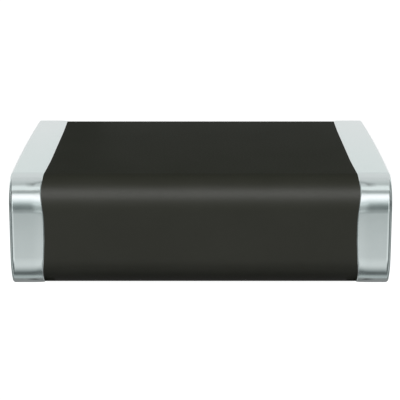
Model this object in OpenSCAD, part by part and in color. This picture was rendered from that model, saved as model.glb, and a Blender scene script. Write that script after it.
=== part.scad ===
// Multilayer chip varistor in the 5750 metric (2220) case: a sintered zinc-oxide block with
// inner electrodes that start from its two ends in turn, and a plated termination over each end.
// X runs along the length, Y across the width and Z up. The origin is the middle of the
// footprint, on the board. Every size is in millimetres.

/* [Case] */
// Length over the two terminations
case_l = 5.7; // [4:0.1:8]
// Width over the terminations
case_w = 5.0; // [3:0.1:7]
// Height over the terminations
case_h = 1.7; // [1.3:0.05:3]
// Radius of the four long edges, over the terminations
long_edge_r = 0.52; // [0.2:0.02:0.62]
// Radius of the edges round each end face, over the terminations
end_edge_r = 0.05; // [0.03:0.005:0.08]
// How far the middle of each end face stands out past its two sides
end_crown = 0.04; // [0:0.005:0.08]

/* [Termination bands] */
// Reach of a band along the case where it crosses a long edge, its shortest
band_at_edge = 0.504; // [0.3:0.002:0.8]
// Reach of a band in the middle of the top and of the underside
band_at_top = 0.536; // [0.3:0.002:0.9]
// Reach of a band in the middle of the two sides, its longest
band_at_side = 0.54; // [0.3:0.002:0.9]
// Distance round the case over which a band's edge swings from a long edge into the top
swing_to_top = 1.2; // [0.4:0.05:1.4]
// Distance round the case over which it swings from a long edge into a side
swing_to_side = 0.66; // [0.3:0.02:0.7]
// Length of the lip that rounds a band down to the ceramic
lip_l = 0.05; // [0.02:0.005:0.1]

/* [Termination layers] */
// Thickness of the fired silver under the bands
silver_t = 0.012; // [0.005:0.001:0.03]
// Thickness of the fired silver at the sides of an end face, where it is thinnest
silver_end_t = 0.022; // [0.01:0.001:0.06]
// Thickness of the nickel barrier plated on the silver
nickel_t = 0.003; // [0.001:0.001:0.006]
// Thickness of the tin plated on the nickel
tin_t = 0.005; // [0.002:0.001:0.01]

/* [Ceramic block] */
// Radius of the block's tumbled end edges
block_edge_r = 0.06; // [0.03:0.005:0.12]

/* [Inner electrodes] */
// Number of electrodes, which start from the left and the right end in turn
electrode_count = 10; // [2:1:16]
// Thickness of each electrode
electrode_t = 0.005; // [0.002:0.001:0.02]
// Plain ceramic above the top electrode and below the lowest one
cover_t = 0.25; // [0.15:0.01:0.5]
// Ceramic between an electrode's long side and the side of the block
side_margin = 0.35; // [0.15:0.05:0.8]
// Ceramic between an electrode's tip and the end that it does not reach
tip_margin = 0.6; // [0.2:0.05:1.2]

/* [Facets] */
// Facets round each long edge
edge_facets = 10; // [4:1:12]
// Facets from a long edge to the middle of the top
top_facets = 3; // [2:1:5]
// Facets from a long edge to the middle of a side
side_facets = 2; // [1:1:4]
// Facets over a lip, and over the edge round an end face
round_facets = 3; // [2:1:4]
// Rings that carry the crown from an end face's edge to its middle
crown_rings = 3; // [2:1:4]

/* [Hidden] */

// What is plated over the silver, and over the bare ceramic
over_silver = nickel_t + tin_t;
band_t = silver_t + over_silver;
end_t = silver_end_t + end_crown + over_silver;

// The block that the terminations are dipped on
block_l = case_l - 2 * end_t;
block_w = case_w - 2 * band_t;
block_h = case_h - 2 * band_t;
block_r = long_edge_r - band_t;

// Half of the flat part of the block's top and of its sides
half_top = block_w / 2 - block_r;
half_side = block_h / 2 - block_r;
// Distance round the block from the end of a long edge's curve to its middle
half_curve = block_r * PI / 4;
// Above 1, the facets on the top crowd towards the long edges, where a band's edge swings
crowding = 1.5;

electrode_l = block_l - tip_margin;
electrode_w = block_w - 2 * side_margin;
electrode_pitch = (block_h - 2 * cover_t) / (electrode_count - 1);

ceramic_grey = [0.17, 0.175, 0.16];
silver_grey = [0.86, 0.85, 0.82];
nickel_grey = [0.66, 0.64, 0.60];
tin_grey = [0.78, 0.81, 0.81];
electrode_grey = [0.70, 0.69, 0.67];

// Reach of a band at a distance from the middle of a long edge, on the top and on a side
function reach_on_top(run) =
    band_at_edge + (band_at_top - band_at_edge) * sin(90 * min(run / swing_to_top, 1));
function reach_on_side(run) =
    band_at_edge + (band_at_side - band_at_edge) * (1 - cos(180 * min(run / swing_to_side, 1))) / 2;

// A station is one point of the block's section seen from the end, about the section's middle.
// It holds its place across and up, its outward direction across and up, and the band's reach.
function side_station(up) =
    [block_w / 2, up, 1, 0, reach_on_side(half_side - up + half_curve)];
function edge_station(angle) =
    let (run = half_curve * abs(angle - 45) / 45)
    [half_top + block_r * cos(angle), half_side + block_r * sin(angle), cos(angle), sin(angle),
        angle < 45 ? reach_on_side(run) : reach_on_top(run)];
function top_station(across) =
    [across, block_h / 2, 0, 1, reach_on_top(half_top - across + half_curve)];
function flip(s, side, top) = [s[0] * side, s[1] * top, s[2] * side, s[3] * top, s[4]];
function reach(s) = s[4];

// A quarter of the section, from the middle of a side to the middle of the top, and the whole
quarter = concat(
    [for (j = [0 : side_facets - 1]) side_station(half_side * j / side_facets)],
    [for (j = [0 : edge_facets]) edge_station(90 * j / edge_facets)],
    [for (j = [1 : top_facets]) top_station(half_top * (1 - pow(j / top_facets, crowding)))]);
last = len(quarter) - 1;
section = concat(
    [for (j = [0 : last]) flip(quarter[j], 1, 1)],
    [for (j = [last - 1 : -1 : 0]) flip(quarter[j], -1, 1)],
    [for (j = [1 : last]) flip(quarter[j], -1, -1)],
    [for (j = [last - 1 : -1 : 1]) flip(quarter[j], 1, -1)]);

// A station's place when it is proud of the block's section, and then also some way behind the
// case's right-hand end
function across_at(s, proud) = s[0] + s[2] * proud;
function up_at(s, proud) = s[1] + s[3] * proud;
function place(s, proud, behind) =
    [case_l / 2 - behind, across_at(s, proud), case_h / 2 + up_at(s, proud)];

// How far the end face has fallen back from its middle
function crown_at(across) = end_crown * pow(2 * across / case_w, 2);

// A skin is the point in the middle of an end face, then rings of stations from there outwards
function middle(behind) = [case_l / 2 - behind, 0, case_h / 2];

// A termination's skin, as far as the band's edge on the ceramic. What is plated over it later
// is "under" thick, and takes that much from every size.
function end_ring(under, share) =
    let (proud = band_t - end_edge_r)
    [for (s = section) let (across = share * across_at(s, proud))
        [case_l / 2 - under - crown_at(across), across, case_h / 2 + share * up_at(s, proud)]];
function rounded_ring(under, angle) =
    let (r = end_edge_r - under, proud = band_t - under - r * (1 - cos(angle)))
    [for (s = section)
        place(s, proud, under + crown_at(across_at(s, proud)) + r * (1 - sin(angle)))];
function lip_ring(under, angle) =
    let (proud = (band_t - under) * sin(angle), from_edge = (lip_l - under) * (1 - cos(angle)))
    [for (s = section) place(s, proud, reach(s) - under - from_edge)];
function plated_skin(under) = [middle(under), concat(
    [for (j = [1 : crown_rings - 1]) end_ring(under, j / crown_rings)],
    [for (j = [round_facets : -1 : 0]) rounded_ring(under, 90 * j / round_facets)],
    [for (j = [round_facets : -1 : 0]) lip_ring(under, 90 * j / round_facets)])];

// The skin of the block's own end, as far as its straight sides
function block_ring(angle) =
    [for (s = section)
        place(s, -block_edge_r * (1 - cos(angle)), end_t + block_edge_r * (1 - sin(angle)))];
block_skin =
    [middle(end_t), [for (j = [round_facets : -1 : 0]) block_ring(90 * j / round_facets)]];

function mirrored_point(p) = [-p[0], p[1], p[2]];
function mirrored(skin) =
    [mirrored_point(skin[0]), [for (ring = skin[1]) [for (p = ring) mirrored_point(p)]]];

// The triangles of a skin whose points are counted from "start"
function skin_faces(skin, start) =
    let (n = len(skin[1][0]), at = function (k, i) start + 1 + k * n + i % n)
    concat(
        [for (i = [0 : n - 1]) [start, at(0, i + 1), at(0, i)]],
        [for (k = [0 : len(skin[1]) - 2], i = [0 : n - 1])
            each [[at(k, i), at(k, i + 1), at(k + 1, i)],
                [at(k, i + 1), at(k + 1, i + 1), at(k + 1, i)]]]);
function turned(faces) = [for (f = faces) [f[2], f[1], f[0]]];

// The solid between two skins, closed from the last ring of one to the last ring of the other.
// Skins that two pieces share are split into the same triangles, so the pieces lie face to face.
module solid_between(outer, inner) {
    n = len(section);
    points = concat([outer[0]], [for (ring = outer[1]) each ring],
        [inner[0]], [for (ring = inner[1]) each ring]);
    inner_start = 1 + n * len(outer[1]);
    outer_edge = inner_start - n;
    inner_edge = len(points) - n;
    polyhedron(points, concat(
        skin_faces(outer, 0),
        turned(skin_faces(inner, inner_start)),
        [for (i = [0 : n - 1]) let (j = (i + 1) % n)
            each [[outer_edge + i, outer_edge + j, inner_edge + i],
                [outer_edge + j, inner_edge + j, inner_edge + i]]]));
}

// One end's pieces are drawn on the right, and mirrored for the left
module at_end(side) {
    mirror([side == "left" ? 1 : 0, 0, 0]) children();
}

module silver_base(side) {
    color(silver_grey) at_end(side) solid_between(plated_skin(over_silver), block_skin);
}

module nickel_barrier(side) {
    color(nickel_grey) at_end(side) solid_between(plated_skin(tin_t), plated_skin(over_silver));
}

module tin_finish(side) {
    color(tin_grey) at_end(side) solid_between(plated_skin(0), plated_skin(tin_t));
}

// Odd electrodes start from the left end and even ones from the right, lowest first
function electrode_side(i) = i % 2 == 1 ? "left" : "right";
function electrode_name(i) = str(electrode_side(i), "_electrode_", i);

module electrode_plate(i, past_end) {
    at_end(electrode_side(i))
        translate([block_l / 2 - electrode_l, -electrode_w / 2,
                case_h / 2 + electrode_pitch * (i - (electrode_count + 1) / 2) - electrode_t / 2])
            cube([electrode_l + past_end, electrode_w, electrode_t]);
}

module electrode(i) {
    color(electrode_grey) electrode_plate(i, 0);
}

// The block is sintered round its electrodes, and each one is bare at its own end
module ceramic_body() {
    color(ceramic_grey) difference() {
        solid_between(block_skin, mirrored(block_skin));
        for (i = [1 : electrode_count]) electrode_plate(i, end_t);
    }
}

ceramic_body();
for (side = ["left", "right"]) {
    silver_base(side);
    nickel_barrier(side);
    tin_finish(side);
}
for (i = [1 : electrode_count]) {
    electrode(i);
}
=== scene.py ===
import math

import bpy
import numpy as np
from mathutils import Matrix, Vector


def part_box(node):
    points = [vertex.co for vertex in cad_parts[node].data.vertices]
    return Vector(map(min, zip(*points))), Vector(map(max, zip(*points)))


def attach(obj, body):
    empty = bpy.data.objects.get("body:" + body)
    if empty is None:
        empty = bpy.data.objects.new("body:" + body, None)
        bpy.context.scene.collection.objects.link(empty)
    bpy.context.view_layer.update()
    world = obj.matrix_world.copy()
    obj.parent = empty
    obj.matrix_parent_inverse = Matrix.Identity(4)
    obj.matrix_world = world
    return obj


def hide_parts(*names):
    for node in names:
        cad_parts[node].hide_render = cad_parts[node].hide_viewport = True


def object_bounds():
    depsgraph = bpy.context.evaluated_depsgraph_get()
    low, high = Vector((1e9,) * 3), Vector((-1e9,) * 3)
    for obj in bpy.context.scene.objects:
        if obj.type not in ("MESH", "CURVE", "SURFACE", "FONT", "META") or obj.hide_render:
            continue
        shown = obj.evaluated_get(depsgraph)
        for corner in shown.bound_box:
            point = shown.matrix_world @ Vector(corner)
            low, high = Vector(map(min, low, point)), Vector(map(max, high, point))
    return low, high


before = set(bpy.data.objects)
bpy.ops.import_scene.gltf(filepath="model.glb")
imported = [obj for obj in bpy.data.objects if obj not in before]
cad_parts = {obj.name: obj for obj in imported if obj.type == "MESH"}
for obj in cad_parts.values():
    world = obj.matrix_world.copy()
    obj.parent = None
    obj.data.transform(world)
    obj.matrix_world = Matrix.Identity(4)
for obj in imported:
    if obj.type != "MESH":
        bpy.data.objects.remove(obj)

# The looks of a chip varistor: its satin ceramic block, and the bright tin plated over its two
# ends. X runs along the length, Y across the width and Z up, all in metres.
MM = 0.001
MICRON = 1e-6

cad_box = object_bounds()
case_low, case_high = cad_box
block_low, block_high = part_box("ceramic_body")

# Sizes of the case, and of the ceramic block whose ends were dipped and plated. Thickness of a
# termination on the block's sides and on its ends, of its tin, and of all that covers its silver.
CASE_L, CASE_W, CASE_H = case_high - case_low
BLOCK_L, BLOCK_W, BLOCK_H = block_high - block_low
MIDDLE_Z = CASE_H / 2
BAND_T = (CASE_W - BLOCK_W) / 2
END_T = (CASE_L - BLOCK_L) / 2
TIN_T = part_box("left_nickel_barrier")[0].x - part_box("left_tin_finish")[0].x
OVER_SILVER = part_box("left_silver_base")[0].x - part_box("left_tin_finish")[0].x

# Radius of the long edges over the bands, and of each end face's edge, which changes round the
# section. The end faces are slightly crowned, and the block's own end edges are tumbled.
LONG_EDGE_R = 0.52 * MM
END_EDGE_R_ON_TOP = 0.045 * MM
END_EDGE_R_ON_SIDE = 0.07 * MM
END_EDGE_R_BELOW = 0.037 * MM
END_CROWN = 0.032 * MM
BLOCK_EDGE_R = 0.06 * MM
# Radius of the block's long edges, and half of its flat top and of its flat side
BLOCK_R = LONG_EDGE_R - BAND_T
HALF_TOP = BLOCK_W / 2 - BLOCK_R
HALF_SIDE = BLOCK_H / 2 - BLOCK_R

# How far a band's wavy edge reaches from the end of the case: at its shortest, on the upper front,
# the upper back and the lower edges, and at its longest, on the flat faces
BAND_AT_EDGE, BAND_AT_BACK_EDGE, BAND_AT_LOW_EDGE = 0.503 * MM, 0.514 * MM, 0.5043 * MM
BAND_AT_TOP = 0.534 * MM
BAND_AT_SIDE = 0.5445 * MM
# The distance round the block in which it swings from one to the other
SWING_TO_TOP = 1.3 * MM
SWING_TO_SIDE, LOW_SWING_TO_SIDE = 0.54 * MM, 0.781 * MM
# Where a band is shortest on an upper and on a lower long edge, as a turn from the side
SHORTEST_TURN, LOW_SHORTEST_TURN = math.radians(45), math.radians(60)
# The swing into the top starts quicker by this share, and ends slower by it
TOP_BOW = 0.4

# A band thins towards its edge, and ends there in a short steep lip
THIN_L = 0.20 * MM
THIN_SHARE = 0.32
LIP_L = 0.022 * MM
# Near its edge a band also steps down on each long edge, by a share of its thickness. The step
# starts and is full at two distances from the band's edge. It comes in between two turns from
# straight up or down, and goes out between two others.
STEP_L, STEP_FULL_L = 0.125 * MM, 0.05 * MM
STEP_SHARE = 0.14
STEP_FROM, STEP_TO = math.radians(32.5), math.radians(42)
STEP_ENDS_FROM, STEP_ENDS_TO = math.radians(56), math.radians(80)
# Past the step, towards the side, comes a shallow dent. It deepens over a distance from the
# band's edge, by a power, and is mostly gone where the flat side begins.
DENT_L, DENT_POWER = 0.16 * MM, 1.5
DENT_SHARE = 0.17
DENT_FROM, DENT_DEEPEST, DENT_TO = math.radians(42), math.radians(62), math.radians(100)
# A band draws back by this, times the share of its thickness that the step and the dent take
RECEDES = 26 * MICRON
# A shallow crease starts on each long edge inside the band, and bends towards the top or the
# bottom near the band's edge
CREASE_L, CREASE_FULL_L = 0.28 * MM, 0.14 * MM
CREASE_SHARE = 0.085
CREASE_SPREAD = math.radians(4.5)
CREASE_TURN, CREASE_END_TURN = math.radians(41), math.radians(37)
CREASE_BEND_L, CREASE_BENT_L = 0.12 * MM, 0.04 * MM
# Painted shade: the tin's colour is darkened along the creases, in lines at a height above and
# below a middle. Past a bend a line runs further from that middle. Measured along the case from its
# centre, a line starts and is full at two distances, and fades to a part of that at a third. The
# lower lines are stronger.
CREASE_SHADE_MIDDLE_Z = MIDDLE_Z + 0.0035 * MM
CREASE_SHADE_HEIGHT, CREASE_SHADE_WIDTH = 0.7275 * MM, 0.019 * MM
CREASE_SHADE_BENDS_AT, CREASE_SHADE_SLOPE = 2.472 * MM, 0.25
CREASE_SHADE_FROM, CREASE_SHADE_FULL, CREASE_SHADE_ENDS = 2.60 * MM, 2.475 * MM, 2.41 * MM
CREASE_SHADE_SHARE_BELOW, CREASE_SHADE_SHARE_ABOVE = 0.65, 0.46
CREASE_SHADE_END_SHARE = 0.4

# The dipped silver draws together, so a termination is thicker in the middle of each long face
SWELL = 2 * MICRON

# How finely the meshes are divided. The stations on the top crowd towards the long edges.
SIDE_STEPS, EDGE_STEPS, TOP_STEPS = 8, 64, 24
TOP_CROWDING = 1.5
CROWN_RINGS, ROUND_RINGS, BAND_RINGS, LIP_RINGS = 16, 10, 24, 10

# The camera's distance, height and lens, as worked out from the photograph
CAMERA_DISTANCE = 24.7476 * MM
CAMERA_ELEVATION = math.radians(14.057)
AIM_HEIGHT = 0.7696 * MM
FRAME_PX = 400
FOCAL_PX = 1514.17
CENTRE_OFFSET_PX = 0.6
SENSOR_MM = 36.0
CLIP_START, CLIP_END = 1 * MM, 5.0


def smooth(value, zero_at, one_at):
    """0 up to one value, 1 from another, and a smooth slope between them."""
    share = np.clip((value - zero_at) / (one_at - zero_at), 0, 1)
    return share**2 * (3 - 2 * share)


def quarter_section(at_edge, shortest_turn, side_share):
    """Stations from the middle of a side to the middle of the top. Each is the place across and
    up, the outward direction across and up, the band's reach, and how far the termination falls
    short of its full thickness."""
    rows = []

    def reach_on_side(run):
        return at_edge + (BAND_AT_SIDE - at_edge) * side_share(run)

    def reach_on_top(run):
        share = min(run / SWING_TO_TOP, 1)
        return at_edge + (BAND_AT_TOP - at_edge) * share * (1 + TOP_BOW * (1 - share))

    for j in range(SIDE_STEPS):
        up = HALF_SIDE * j / SIDE_STEPS
        reach = reach_on_side(HALF_SIDE - up + BLOCK_R * shortest_turn)
        rows.append((BLOCK_W / 2, up, 1, 0, reach, SWELL * (up / HALF_SIDE) ** 2))
    for j in range(EDGE_STEPS + 1):
        turn = math.pi / 2 * j / EDGE_STEPS
        c, s = math.cos(turn), math.sin(turn)
        run = BLOCK_R * abs(turn - shortest_turn)
        reach = reach_on_side(run) if turn < shortest_turn else reach_on_top(run)
        rows.append((HALF_TOP + BLOCK_R * c, HALF_SIDE + BLOCK_R * s, c, s, reach, SWELL))
    for j in range(1, TOP_STEPS + 1):
        across = HALF_TOP * (1 - (j / TOP_STEPS) ** TOP_CROWDING)
        reach = reach_on_top(HALF_TOP - across + BLOCK_R * (math.pi / 2 - shortest_turn))
        rows.append((across, BLOCK_H / 2, 0, 1, reach, SWELL * (across / HALF_TOP) ** 2))
    return np.array(rows)


def whole_section():
    """The quarters, mirrored round the whole block. On the upper half of a side a band's edge
    swings smoothly, and on the lower half it runs straight."""

    def side_share(run):
        return smooth(run, 0, SWING_TO_SIDE)

    def low_side_share(run):
        return min(run / LOW_SWING_TO_SIDE, 1)

    back = quarter_section(BAND_AT_BACK_EDGE, SHORTEST_TURN, side_share)
    front = quarter_section(BAND_AT_EDGE, SHORTEST_TURN, side_share)
    low = quarter_section(BAND_AT_LOW_EDGE, LOW_SHORTEST_TURN, low_side_share)
    upper_front = front[-2::-1] * (-1, 1, -1, 1, 1, 1)
    low_front = low[1:] * (-1, -1, -1, -1, 1, 1)
    low_back = low[-2:0:-1] * (1, -1, 1, -1, 1, 1)
    return np.concatenate([back, upper_front, low_front, low_back])


ACROSS, UP, OUT_ACROSS, OUT_UP, FULL_REACH, SHORT_OF = whole_section().T
FROM_VERTICAL = np.arctan2(np.abs(OUT_ACROSS), np.abs(OUT_UP))


def coming_and_going(in_from, in_to, out_from, out_to):
    """For each station: 0, then 1 and then 0 again as the turn from straight up or down grows."""
    return smooth(FROM_VERTICAL, in_from, in_to) - smooth(FROM_VERTICAL, out_from, out_to)


STEP = STEP_SHARE * coming_and_going(STEP_FROM, STEP_TO, STEP_ENDS_FROM, STEP_ENDS_TO)
DENT = DENT_SHARE * coming_and_going(DENT_FROM, DENT_DEEPEST, DENT_DEEPEST, DENT_TO)
REACH = FULL_REACH - RECEDES * (STEP + DENT)
FLAT_EDGE_R = np.where(OUT_UP < 0, END_EDGE_R_BELOW, END_EDGE_R_ON_TOP)
END_EDGE_R = FLAT_EDGE_R + (END_EDGE_R_ON_SIDE - FLAT_EDGE_R) * OUT_ACROSS**2


def crown_at(across):
    """How far the end face has fallen back from its middle."""
    return END_CROWN * (2 * across / CASE_W) ** 2


def ring(proud, behind, share=1.0):
    """The section, proud of the block and some way behind the right-hand end of the case. A share
    below 1 draws it in towards its middle."""
    across = share * (ACROSS + OUT_ACROSS * proud)
    up = share * (UP + OUT_UP * proud)
    x = np.broadcast_to(CASE_L / 2 - behind, across.shape)
    return np.stack([x, across, MIDDLE_Z + up], axis=1)


def plated_rings(under):
    """The rings of a skin of a termination, at a depth under its surface: the end face, the
    rounded edge, the band and the lip."""
    rings = []
    full = BAND_T - SHORT_OF
    proud = full - END_EDGE_R
    for j in range(1, CROWN_RINGS):
        share = j / CROWN_RINGS
        rings.append(ring(proud, under + crown_at(share * (ACROSS + OUT_ACROSS * proud)), share))
    r = END_EDGE_R - under
    for j in range(ROUND_RINGS, -1, -1):
        turn = math.pi / 2 * j / ROUND_RINGS
        proud = full - under - r * (1 - math.cos(turn))
        crown = crown_at(ACROSS + OUT_ACROSS * proud)
        rings.append(ring(proud, under + crown + r * (1 - math.sin(turn))))
    start = REACH - END_EDGE_R - crown_at(ACROSS + OUT_ACROSS * BAND_T)
    for j in range(1, BAND_RINGS):
        rings.append(band_ring(under, start + (LIP_L - start) * (j / BAND_RINGS)))
    for j in range(LIP_RINGS, -1, -1):
        turn = math.pi / 2 * j / LIP_RINGS
        rings.append(band_ring(under, under + (LIP_L - under) * (1 - math.cos(turn))))
    return rings


def band_ring(under, from_edge):
    """A ring of a band's skin at a distance from the band's edge. The lip is shorter where the
    band is thinner, so that it stays as steep."""
    thin = THIN_SHARE * (1 - np.clip(from_edge / THIN_L, 0, 1)) ** 2
    step = STEP * smooth(from_edge, STEP_L, STEP_FULL_L)
    dent = DENT * (1 - np.clip(from_edge / DENT_L, 0, 1)) ** DENT_POWER
    bend = smooth(from_edge, CREASE_BEND_L, CREASE_BENT_L)
    off_crease = FROM_VERTICAL - CREASE_TURN - (CREASE_END_TURN - CREASE_TURN) * bend
    crease = CREASE_SHARE * smooth(from_edge, CREASE_L, CREASE_FULL_L)
    crease = crease * np.exp(-((off_crease / CREASE_SPREAD) ** 2))
    thin = thin + step + dent + crease
    lip_l = (LIP_L - under) * (1 - thin) / (1 - THIN_SHARE)
    lip = np.sin(math.pi / 2 * np.clip((from_edge - under) / lip_l, 0, 1))
    return ring((BAND_T - SHORT_OF - under) * lip * (1 - thin), REACH - from_edge)


def block_rings():
    """The rings of the block's right-hand end, from its flat face to its straight sides."""
    rings = []
    for j in range(ROUND_RINGS, -1, -1):
        turn = math.pi / 2 * j / ROUND_RINGS
        proud = -BLOCK_EDGE_R * (1 - math.cos(turn))
        rings.append(ring(proud, END_T + BLOCK_EDGE_R * (1 - math.sin(turn))))
    return rings


def closed_mesh(name, first_middle, rings, last_middle, left=False):
    """A closed mesh through rings of equal count, with a point in the middle of each end. It is
    made for the right-hand end, and mirrored for the left."""
    count = len(rings[0])
    points = np.concatenate([[first_middle], *rings, [last_middle]])
    faces = []
    for i in range(count):
        j = (i + 1) % count
        faces.append((0, 1 + j, 1 + i))
        for k in range(len(rings) - 1):
            here, there = 1 + k * count, 1 + (k + 1) * count
            faces.append((here + i, here + j, there + j, there + i))
        end = 1 + (len(rings) - 1) * count
        faces.append((end + i, end + j, len(points) - 1))
    if left:
        points = points * (-1, 1, 1)
        faces = [face[::-1] for face in faces]
    mesh = bpy.data.meshes.new(name)
    mesh.from_pydata(points.tolist(), [], faces)
    mesh.polygons.foreach_set("use_smooth", [True] * len(mesh.polygons))
    mesh.update()
    piece = bpy.data.objects.new(name, mesh)
    bpy.context.scene.collection.objects.link(piece)
    return piece


def middle(behind):
    """The middle of the section, some way behind the right-hand end of the case."""
    return (CASE_L / 2 - behind, 0, MIDDLE_Z)


def make_body():
    """The ceramic block."""
    right = block_rings()
    left = [points * (-1, 1, 1) for points in reversed(right)]
    end = middle(END_T)
    return closed_mesh("ceramic", end, right + left, (-end[0], end[1], end[2]))


def make_layer(name, side, under, inner_rings, inner_middle):
    """One layer of a termination, between its outer skin and the skin of what it lies on."""
    rings = plated_rings(under) + inner_rings[::-1]
    return closed_mesh(f"{side}_{name}", middle(under), rings, inner_middle, left=side == "left")


def make_tin(side):
    return make_layer("tin", side, 0, plated_rings(TIN_T), middle(TIN_T))


def make_nickel(side):
    return make_layer("nickel", side, TIN_T, plated_rings(OVER_SILVER), middle(OVER_SILVER))


def make_silver(side):
    return make_layer("silver", side, OVER_SILVER, block_rings(), middle(END_T))


def new_material(name):
    """A material, its tree, its shader, and the place on the piece as a coordinate."""
    material = bpy.data.materials.new(name)
    material.use_nodes = True
    tree = material.node_tree
    shader = tree.nodes["Principled BSDF"]
    place = tree.nodes.new("ShaderNodeTexCoord").outputs["Object"]
    return material, tree, shader, place


# Nearly all of the noise lies between these values
NOISE_LOW, NOISE_HIGH = 0.3, 0.7


def noise(tree, place, size):
    """Noise whose lumps are about the given size in metres."""
    node = tree.nodes.new("ShaderNodeTexNoise")
    node.inputs["Scale"].default_value = 1 / size
    node.inputs["Detail"].default_value = 3
    node.inputs["Roughness"].default_value = 0.5
    tree.links.new(place, node.inputs["Vector"])
    return node.outputs["Fac"]


def spread(tree, value, low, high):
    """Noise, stretched from its usual range to the range from low to high."""
    node = tree.nodes.new("ShaderNodeMapRange")
    node.inputs["From Min"].default_value = NOISE_LOW
    node.inputs["From Max"].default_value = NOISE_HIGH
    node.inputs["To Min"].default_value = low
    node.inputs["To Max"].default_value = high
    tree.links.new(value, node.inputs["Value"])
    return node.outputs["Result"]


def tint(tree, value, low, high):
    """A colour from low to high, by noise."""
    node = tree.nodes.new("ShaderNodeValToRGB")
    node.color_ramp.elements[0].position = NOISE_LOW
    node.color_ramp.elements[0].color = (*low, 1)
    node.color_ramp.elements[1].position = NOISE_HIGH
    node.color_ramp.elements[1].color = (*high, 1)
    tree.links.new(value, node.inputs["Fac"])
    return node.outputs["Color"]


def math_node(tree, operation, *values):
    """One arithmetic step, on plain numbers and on what other nodes give."""
    node = tree.nodes.new("ShaderNodeMath")
    node.operation = operation
    for socket, value in zip(node.inputs, values):
        if isinstance(value, (int, float)):
            socket.default_value = value
        else:
            tree.links.new(value, socket)
    return node.outputs["Value"]


def rise(tree, value, zero_at, one_at):
    """0 up to one value, 1 from another, and a straight slope between them."""
    node = tree.nodes.new("ShaderNodeMapRange")
    node.inputs["From Min"].default_value = zero_at
    node.inputs["From Max"].default_value = one_at
    tree.links.new(value, node.inputs["Value"])
    return node.outputs["Result"]


def mixed(tree, share, first, second):
    """The first value where the share is 0, and the second where it is 1."""
    rest = math_node(tree, "MULTIPLY", math_node(tree, "SUBTRACT", 1, share), first)
    return math_node(tree, "ADD", rest, math_node(tree, "MULTIPLY", share, second))


def relief(tree, shader, layers):
    """Bumps of several sizes, one after another: each is a height and its depth in metres."""
    normal = None
    for height, depth in layers:
        node = tree.nodes.new("ShaderNodeBump")
        node.inputs["Distance"].default_value = depth
        tree.links.new(height, node.inputs["Height"])
        if normal:
            tree.links.new(normal, node.inputs["Normal"])
        normal = node.outputs["Normal"]
    tree.links.new(normal, shader.inputs["Normal"])


def ceramic_material():
    """Sintered zinc oxide: dark and satin, with a fine grain and faint clouds of colour."""
    material, tree, shader, place = new_material("varistor_ceramic")
    grain = noise(tree, place, 30 * MICRON)
    clouds = noise(tree, place, 700 * MICRON)
    colour = tint(tree, clouds, (0.0150, 0.0158, 0.0095), (0.0178, 0.0186, 0.0120))
    tree.links.new(colour, shader.inputs["Base Color"])
    tree.links.new(spread(tree, grain, 0.42, 0.50), shader.inputs["Roughness"])
    shader.inputs["Specular IOR Level"].default_value = 0.35
    relief(tree, shader, [(grain, 0.4 * MICRON)])
    return material


def metal_material(name, colours, size, rough, layers):
    """Bare metal, patchy in colour and gloss, with bumps of the given sizes and depths."""
    material, tree, shader, place = new_material(name)
    patches = noise(tree, place, size)
    shader.inputs["Metallic"].default_value = 1
    tree.links.new(tint(tree, patches, *colours), shader.inputs["Base Color"])
    tree.links.new(spread(tree, patches, *rough), shader.inputs["Roughness"])
    relief(tree, shader, [(noise(tree, place, width), depth) for width, depth in layers])
    return material


def paint_crease_shade(material):
    """Paints shade into a metal's colour along the creases. Across the shaded line it fades as a
    bell curve.
    """
    tree = material.node_tree
    split = tree.nodes.new("ShaderNodeSeparateXYZ")
    tree.links.new(tree.nodes.new("ShaderNodeTexCoord").outputs["Object"], split.inputs["Vector"])
    along = math_node(tree, "ABSOLUTE", split.outputs["X"])
    above_middle = math_node(tree, "SUBTRACT", split.outputs["Z"], CREASE_SHADE_MIDDLE_Z)
    height = math_node(tree, "ABSOLUTE", above_middle)
    past_bend = math_node(tree, "MAXIMUM", math_node(tree, "SUBTRACT", CREASE_SHADE_BENDS_AT, along), 0)
    line = math_node(tree, "MULTIPLY_ADD", past_bend, CREASE_SHADE_SLOPE, CREASE_SHADE_HEIGHT)
    off_line = math_node(tree, "DIVIDE", math_node(tree, "SUBTRACT", height, line), CREASE_SHADE_WIDTH)
    squared = math_node(tree, "MULTIPLY", off_line, off_line)
    near = math_node(tree, "EXPONENT", math_node(tree, "MULTIPLY", squared, -1))
    start = rise(tree, along, CREASE_SHADE_FROM, CREASE_SHADE_FULL)
    end = mixed(tree, rise(tree, along, CREASE_SHADE_ENDS, CREASE_SHADE_FULL), CREASE_SHADE_END_SHARE, 1)
    # The painted shade: how much the base colour is darkened here
    painted_shade = math_node(tree, "MULTIPLY", math_node(tree, "MULTIPLY", start, end), near)
    up = rise(tree, split.outputs["Z"], 0, CASE_H)
    share = mixed(tree, up, CREASE_SHADE_SHARE_BELOW, CREASE_SHADE_SHARE_ABOVE)
    bright = math_node(tree, "SUBTRACT", 1, math_node(tree, "MULTIPLY", painted_shade, share))
    base = tree.nodes["Principled BSDF"].inputs["Base Color"]
    scaled = tree.nodes.new("ShaderNodeVectorMath")
    scaled.operation = "SCALE"
    tree.links.new(base.links[0].from_socket, scaled.inputs[0])
    tree.links.new(bright, scaled.inputs["Scale"])
    tree.links.new(scaled.outputs["Vector"], base)


def tin_material():
    """Bright plated tin: very slightly cloudy and wavy, with painted shade along the creases."""
    material = metal_material(
        "tin_plate",
        ((0.735, 0.815, 0.81), (0.755, 0.835, 0.83)),
        180 * MICRON,
        (0.13, 0.17),
        [(420 * MICRON, 0.5 * MICRON), (14 * MICRON, 0.04 * MICRON)],
    )
    # Shade is painted into the tin's colour along the creases
    paint_crease_shade(material)
    return material


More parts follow.
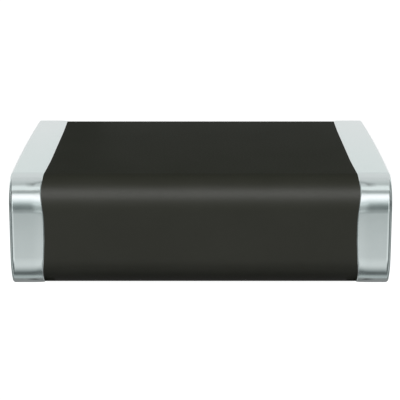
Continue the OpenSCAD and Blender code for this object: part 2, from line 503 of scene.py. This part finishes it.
def nickel_material():
    """Dull plated nickel."""
    return metal_material(
        "nickel_plate",
        ((0.58, 0.55, 0.49), (0.64, 0.61, 0.55)),
        120 * MICRON,
        (0.28, 0.36),
        [(20 * MICRON, 0.2 * MICRON)],
    )


def silver_material():
    """Fired silver paste: matte and grainy."""
    return metal_material(
        "fired_silver",
        ((0.80, 0.79, 0.75), (0.88, 0.87, 0.84)),
        60 * MICRON,
        (0.5, 0.62),
        [(12 * MICRON, 0.8 * MICRON)],
    )


def electrode_material():
    """Silver and palladium, printed and sintered."""
    return metal_material(
        "electrode_metal",
        ((0.62, 0.61, 0.58), (0.70, 0.69, 0.67)),
        40 * MICRON,
        (0.45, 0.55),
        [(10 * MICRON, 0.4 * MICRON)],
    )


def finish_piece(piece, material, node):
    """Gives a piece its material and slot, and has it stand for a node of the frame."""
    piece.data.materials.append(material)
    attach(piece, "root")
    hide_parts(node)


def make_pieces():
    """Makes every piece. Returns the ceramic, and the two pieces of tin that enclose the rest."""
    body = make_body()
    finish_piece(body, ceramic_material(), "ceramic_body")
    tin, nickel, silver = tin_material(), nickel_material(), silver_material()
    caps = []
    for side in ("left", "right"):
        caps.append(make_tin(side))
        finish_piece(caps[-1], tin, f"{side}_tin_finish")
        finish_piece(make_nickel(side), nickel, f"{side}_nickel_barrier")
        finish_piece(make_silver(side), silver, f"{side}_silver_base")
    return body, caps


def dress_electrodes():
    """The electrodes keep their own shape and only get a better material."""
    printed = electrode_material()
    for name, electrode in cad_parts.items():
        if "electrode" in name:
            for slot in electrode.material_slots:
                slot.material = printed


# Soft light panels that run along X, as angles round the part: 0 is level behind it, 90 is
# straight above it and 180 is level in front. One list lights only the metal and the other only
# the ceramic, as flags do in a studio. Each panel has its lowest and highest angle, its
# brightness and its colour, and those behind the part are longer.
PANEL_DISTANCE = 40 * MM
PANEL_L, BACK_PANEL_L = 66 * MM, 96 * MM
WHITE, PINK, GREEN = (1, 1, 1), (1, 0.92, 0.95), (0.9, 1, 0.99)
PALE_PINK, PALE_GREEN, PALE_BLUE = (1, 0.97, 0.975), (0.97, 1, 0.99), (0.96, 1, 1)
METAL_PANELS = [
    ("back_level", -6, 13, 0.793, PALE_PINK),
    ("back_low", 13, 20, 0.744, PALE_GREEN),
    ("back_middle", 20, 35, 0.70, WHITE),
    ("back_high", 35, 50, 0.722, PALE_PINK),
    ("overhead_back", 50, 62, 0.715, PALE_PINK),
    ("overhead", 62, 78, 0.65, PALE_PINK),
    ("overhead_front", 78, 85, 0.585, WHITE),
    ("strip_back", 85, 91.5, 0.54, WHITE),
    ("gap_back", 91.5, 95.5, 0.44, WHITE),
    ("strip_edge", 95.5, 101, 0.62, WHITE),
    ("strip", 101, 116.8, 0.87, WHITE),
    ("gap_front", 116.8, 128.2, 0.36, WHITE),
    ("key_edge", 128.2, 132, 0.90, WHITE),
    ("key_top", 132, 137, 1.20, PINK),
    ("front_low", 172, 180, 0.12, GREEN),
    ("under_edge", 264, 266, 0.12, PALE_BLUE),
    ("under_rise", 266, 272, 0.24, PALE_BLUE),
    ("under", 272, 288.6, 0.33, PALE_BLUE),
]
# The key light fades towards the front, in steps: its angles, how much brightness it loses on the
# way, and how much is left at the end
FADE_FROM, FADE_TO, FADE_STEPS = 137, 172, 12
KEY_LOSS, KEY_REST = 1.20, 0.13
# The part of the fade in which the key light turns from one colour to the other
TURNS_GREEN_BY = 0.9
CERAMIC_PANELS = [
    ("ceramic_overhead", 53, 98, 0.18, WHITE),
    ("ceramic_key", 113.5, 140.5, 4.7, WHITE),
    ("ceramic_tail", 148, 176, 0.32, WHITE),
    ("ceramic_tail_end", 160, 178, 0.25, WHITE),
    ("ceramic_front", 180, 215, 0.108, WHITE),
]
# A small lamp behind the part lights the back of the ceramic: its middle, its size along X and Z,
# the direction that it stands in, and its brightness
BACK_LAMP_PLACE = (2.5 * MM, 6 * MM, 2.3 * MM)
BACK_LAMP_SIZE = (9 * MM, 0.9 * MM)
BACK_LAMP_AWAY = Vector((0, 1, 0))
BACK_LAMP_GLOW = 0.16


def fading_panels():
    """The steps of the key light's fade."""
    panels = []
    step = (FADE_TO - FADE_FROM) / FADE_STEPS
    for i in range(FADE_STEPS):
        share = (i + 0.5) / FADE_STEPS
        low = FADE_FROM + i * step
        glow = KEY_REST + KEY_LOSS * (1 + math.cos(math.pi * share)) / 2
        colour = Vector(PINK).lerp(Vector(GREEN), min(share / TURNS_GREEN_BY, 1))
        panels.append((f"key_{i}", low, low + step, glow, colour))
    return panels


def soft_light(name, place, away, size, radiance, colour, receivers):
    """A rectangular soft light that stands in the direction "away", faces the part and lights
    only the receivers."""
    light = bpy.data.lights.new(name, "AREA")
    light.shape = "RECTANGLE"
    light.size, light.size_y = size
    light.energy = radiance * math.pi * light.size * light.size_y
    light.color = colour
    lamp = bpy.data.objects.new(name, light)
    lamp.location = place
    lamp.rotation_euler = away.to_track_quat("Z", "Y").to_euler()
    lamp.light_linking.receiver_collection = receivers
    bpy.context.scene.collection.objects.link(lamp)


def make_panels(panels, receivers):
    """Soft lights that run along X. Each covers the angles from low to high, seen from the part."""
    for name, low, high, radiance, colour in panels:
        width = 2 * PANEL_DISTANCE * math.tan(math.radians(high - low) / 2)
        angle = math.radians((low + high) / 2)
        away = Vector((0, math.cos(angle), math.sin(angle)))
        place = Vector((0, 0, MIDDLE_Z)) + away * PANEL_DISTANCE
        length = BACK_PANEL_L if name.startswith("back") else PANEL_L
        soft_light(name, place, away, (length, width), radiance, colour, receivers)


# Upright lights round the part, for the metal: the turn from straight in front to either side,
# the width in degrees, the lowest and highest angle above the floor, and the brightness
UPRIGHT_DISTANCE = 60 * MM
UPRIGHT_LIGHTS = [
    ("front", 0, 10, -6, 24, 0.30),
    ("strip", 30, 18, -5, 24, 0.52),
    ("rim", 55, 30, -10, 26, 0.15),
    ("end", 90, 24, 5, 32, 0.50),
]


def make_upright_lights(receivers):
    """Soft lights that stand round the part. Each but the one in front has a twin."""
    for name, turn, width, low, high, radiance in UPRIGHT_LIGHTS:
        low_z = UPRIGHT_DISTANCE * math.tan(math.radians(low))
        high_z = UPRIGHT_DISTANCE * math.tan(math.radians(high))
        size = (2 * UPRIGHT_DISTANCE * math.tan(math.radians(width / 2)), high_z - low_z)
        for side in (1, -1) if turn else (1,):
            angle = side * math.radians(turn)
            away = Vector((math.sin(angle), -math.cos(angle), 0))
            place = away * UPRIGHT_DISTANCE + Vector((0, 0, (low_z + high_z) / 2))
            soft_light(f"upright_{name}", place, away, size, radiance, WHITE, receivers)


def group(name, pieces):
    """A collection of pieces that lights can be linked to."""
    collection = bpy.data.collections.new(name)
    for piece in pieces:
        collection.objects.link(piece)
    return collection


# Brightness of the room below the horizon, as pairs of a direction's height (-1 is straight down)
# and the brightness there
ROOM_BY_HEIGHT = [
    (-1.0, 0.20),
    (-0.979, 0.13),
    (-0.957, 0.13),
    (-0.938, 0.24),
    (-0.907, 0.37),
    (-0.880, 0.46),
    (-0.842, 0.56),
    (-0.765, 0.69),
    (-0.70, 0.74),
    (-0.60, 0.74),
    (-0.45, 0.70),
    (-0.30, 0.66),
    (-0.27, 0.62),
    (-0.238, 0.58),
    (-0.20, 0.41),
    (-0.10, 0.34),
    (-0.03, 0.30),
    (0.0, 0.27),
]
# What that is multiplied by, by how far the direction is turned to the left or right (0 to 1):
# near the horizon, and well below it
ROOM_BY_SIDE = [
    (0.0, 1.10),
    (0.10, 0.96),
    (0.20, 1.0),
    (0.35, 1.38),
    (0.62, 1.38),
    (0.78, 0.32),
    (0.98, 0.32),
    (0.995, 0.9),
]
ROOM_BY_SIDE_BELOW = [
    (0.0, 1.10),
    (0.10, 0.96),
    (0.20, 1.0),
    (0.40, 1.0),
    (0.62, 0.24),
    (0.98, 0.24),
    (0.995, 0.9),
]
# The height at which the second curve starts to take over, and the height at which it has
BELOW_FROM, BELOW_TO = -0.38, -0.60
# How far a direction is turned is its X over its level part, or over this where that is less
LEVEL_AT_LEAST = 0.6
# Above the horizon the room is dim, and lighter far to the left and right where it is high up or
# behind the part
ROOM_ABOVE, ROOM_ABOVE_SIDES = 0.07, 0.42
ABOVE_SIDES_FROM, ABOVE_SIDES_TO = 0.62, 0.76
ABOVE_BACK_FROM, ABOVE_BACK_TO = 0.40, 0.90
# The brightness that the camera sees behind the part
BACKDROP = 1.0
# The dim parts of the room are a little green. They lose this share of their red for each unit
# of brightness that they are below the second value.
SHADE_TINT, UNTINTED_FROM = 0.15, 0.65


def curve_through(tree, value, points):
    """A brightness that runs through the points as the value goes from 0 to 1."""
    ramp = tree.nodes.new("ShaderNodeValToRGB")
    elements = ramp.color_ramp.elements
    while len(elements) < len(points):
        elements.new(position=0.5)
    for element, (place, glow) in zip(elements, points):
        element.position = place
        element.color = (glow, glow, glow, 1)
    tree.links.new(value, ramp.inputs["Fac"])
    return ramp.outputs["Color"]


def make_world():
    """The room that the part reflects, and a pale backdrop behind it for the camera."""
    world = bpy.data.worlds.new("studio")
    world.use_nodes = True
    tree = world.node_tree
    split = tree.nodes.new("ShaderNodeSeparateXYZ")
    direction = tree.nodes.new("ShaderNodeTexCoord").outputs["Generated"]
    tree.links.new(direction, split.inputs["Vector"])
    x, y, z = split.outputs
    x_squared = math_node(tree, "MULTIPLY", x, x)
    flat = math_node(tree, "ADD", x_squared, math_node(tree, "MULTIPLY", y, y))
    level = math_node(tree, "MAXIMUM", math_node(tree, "SQRT", flat), LEVEL_AT_LEAST)
    side = math_node(tree, "ABSOLUTE", math_node(tree, "DIVIDE", x, level))
    heights = [(height + 1, glow) for height, glow in ROOM_BY_HEIGHT]
    by_height = curve_through(tree, math_node(tree, "ADD", z, 1), heights)
    near_level = curve_through(tree, side, ROOM_BY_SIDE)
    well_below = curve_through(tree, side, ROOM_BY_SIDE_BELOW)
    by_side = mixed(tree, rise(tree, z, BELOW_TO, BELOW_FROM), well_below, near_level)
    below = math_node(tree, "MULTIPLY", by_height, by_side)
    beside = rise(tree, math_node(tree, "ABSOLUTE", x), ABOVE_SIDES_FROM, ABOVE_SIDES_TO)
    behind = rise(tree, math_node(tree, "ADD", y, z), ABOVE_BACK_FROM, ABOVE_BACK_TO)
    above = mixed(tree, math_node(tree, "MULTIPLY", beside, behind), ROOM_ABOVE, ROOM_ABOVE_SIDES)
    room = mixed(tree, math_node(tree, "GREATER_THAN", z, 0), below, above)
    seen = tree.nodes.new("ShaderNodeLightPath").outputs["Is Camera Ray"]
    shown = mixed(tree, seen, room, BACKDROP)
    red = math_node(tree, "MULTIPLY_ADD", shown, SHADE_TINT, 1 - SHADE_TINT * UNTINTED_FROM)
    colour = tree.nodes.new("ShaderNodeCombineColor")
    colour.inputs["Green"].default_value = 1
    colour.inputs["Blue"].default_value = 1
    tree.links.new(math_node(tree, "MINIMUM", red, 1), colour.inputs["Red"])
    background = tree.nodes["Background"]
    tree.links.new(shown, background.inputs["Strength"])
    tree.links.new(colour.outputs["Color"], background.inputs["Color"])
    world.cycles.sampling_method = "NONE"
    bpy.context.scene.world = world


def make_sheet(name, low, high, z, colour, glow):
    """A flat glowing rectangle of the studio, between two corners and at a height."""
    mesh = bpy.data.meshes.new(name)
    corners = [low, (high[0], low[1]), high, (low[0], high[1])]
    mesh.from_pydata([(*corner, z) for corner in corners], [], [(0, 1, 2, 3)])
    sheet = bpy.data.objects.new(name, mesh)
    bpy.context.scene.collection.objects.link(sheet)
    material, _, shader, _ = new_material(name)
    shader.inputs["Base Color"].default_value = (colour, colour, colour, 1)
    shader.inputs["Roughness"].default_value = 1
    shader.inputs["Specular IOR Level"].default_value = 0
    shader.inputs["Emission Color"].default_value = (1, 1, 1, 1)
    shader.inputs["Emission Strength"].default_value = glow
    mesh.materials.append(material)
    return sheet


# Half the width of the floor, and its colour and glow
FLOOR_HALF = 2.0
FLOOR_COLOUR, FLOOR_GLOW = 0.9, 0.99
# Cards just under the floor, which the part sees and the camera doesn't, stand for its own shade.
# A dim one lies under the ceramic, and a wider and less dim one under that. Each termination has
# one too, and a narrow lighter one beside it, which the lip of its band sees.
CARD_DEPTH = 0.05 * MM
CERAMIC_CARD_HALF_Y, OUTER_CARD_HALF_Y = 2.50 * MM, 3.1 * MM
PALE_CARD_COLOUR, CERAMIC_CARD_GLOW, OUTER_CARD_GLOW = 0.9, 0.13, 0.30
CAP_CARD_HALF_Y, CARD_PAST_END = 2.278 * MM, 0.12 * MM
CAP_CARD_COLOUR, CAP_CARD_GLOW = 0, 0.27
LIP_CARD_L, LIP_CARD_GLOW = 0.11 * MM, 0.38


def make_floor():
    """A pale floor. The part reflects the room in its place."""
    low, high = (-FLOOR_HALF, -FLOOR_HALF), (FLOOR_HALF, FLOOR_HALF)
    floor = make_sheet("floor", low, high, 0, FLOOR_COLOUR, FLOOR_GLOW)
    floor.visible_shadow = False
    floor.visible_glossy = False
    floor.visible_diffuse = False


def make_cards(metal):
    """The cards. Those of the terminations and of their lips light the metal alone."""
    inner, outer = CASE_L / 2 - BAND_AT_TOP, CASE_L / 2 + CARD_PAST_END
    y = CERAMIC_CARD_HALF_Y
    dim = (-CARD_DEPTH, PALE_CARD_COLOUR, CERAMIC_CARD_GLOW)
    cards = [make_sheet("ceramic_card", (-inner, -y), (inner, y), *dim)]
    y = OUTER_CARD_HALF_Y
    less_dim = (-2 * CARD_DEPTH, PALE_CARD_COLOUR, OUTER_CARD_GLOW)
    cards.append(make_sheet("outer_card", (-inner, -y), (inner, y), *less_dim))
    y = CAP_CARD_HALF_Y
    cap = (-CARD_DEPTH, CAP_CARD_COLOUR, CAP_CARD_GLOW)
    lip = (-CARD_DEPTH / 2, PALE_CARD_COLOUR, LIP_CARD_GLOW)
    metal_cards = [
        ("left_card", -outer, -inner, cap),
        ("right_card", inner, outer, cap),
        ("left_lip_card", -inner, LIP_CARD_L - inner, lip),
        ("right_lip_card", inner - LIP_CARD_L, inner, lip),
    ]
    for name, low, high, look in metal_cards:
        cards.append(make_sheet(name, (low, -y), (high, y), *look))
        cards[-1].light_linking.receiver_collection = metal
    for card in cards:
        card.visible_camera = False


def make_camera():
    """The camera, in front of the part and a little above it."""
    data = bpy.data.cameras.new("camera")
    data.sensor_width = SENSOR_MM
    data.lens = FOCAL_PX * SENSOR_MM / FRAME_PX
    data.shift_x = -CENTRE_OFFSET_PX / FRAME_PX
    data.clip_start = CLIP_START
    data.clip_end = CLIP_END
    camera = bpy.data.objects.new("camera", data)
    back = Vector((0, -math.cos(CAMERA_ELEVATION), math.sin(CAMERA_ELEVATION)))
    camera.location = Vector((0, 0, AIM_HEIGHT)) + back * CAMERA_DISTANCE
    camera.rotation_euler = back.to_track_quat("Z", "Y").to_euler()
    bpy.context.scene.collection.objects.link(camera)
    bpy.context.scene.camera = camera


bpy.context.scene.view_settings.view_transform = "Standard"
make_camera()
make_floor()
make_world()
body, caps = make_pieces()
dress_electrodes()
metal = group("metal", caps)
make_cards(metal)
make_panels(METAL_PANELS + fading_panels(), metal)
make_upright_lights(metal)
ceramic = group("ceramic_only", [body])
make_panels(CERAMIC_PANELS, ceramic)
soft_light(
    "back_lamp", BACK_LAMP_PLACE, BACK_LAMP_AWAY, BACK_LAMP_SIZE, BACK_LAMP_GLOW, WHITE, ceramic
)
